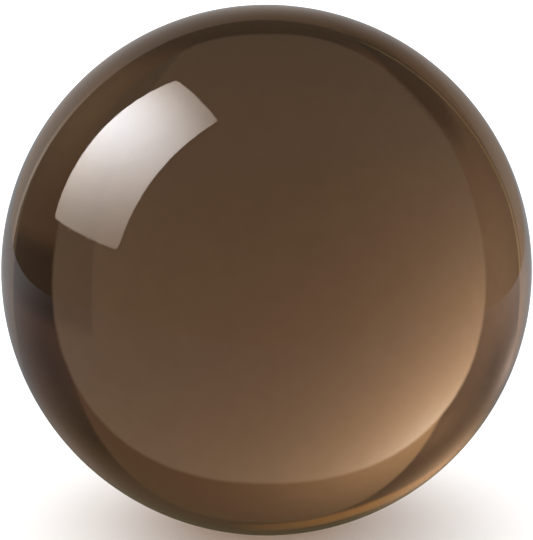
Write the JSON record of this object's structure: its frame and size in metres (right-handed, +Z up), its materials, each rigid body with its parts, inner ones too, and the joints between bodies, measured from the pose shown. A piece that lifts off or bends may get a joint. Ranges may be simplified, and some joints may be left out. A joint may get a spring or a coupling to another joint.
{
  "type": "cue ball",
  "caption": "Solid round cue ball of clear smoke-brown resin, polished all over, struck with a cue and rolled on a cloth-covered table.",
  "frame": {"origin": "centre of the ball", "axes": "+Z up, through the point that touches the table; the ball is the same about every axis, so +X and +Y are free"},
  "size_m": [0.0572, 0.0572, 0.0572],
  "materials": {
    "smoke_resin": "clear cast resin tinted smoke brown all through, polished to a mirror gloss, with faint hairlines"
  },
  "bodies": {
    "root": {"ball": "smoke_resin"}
  },
  "joints": []
}
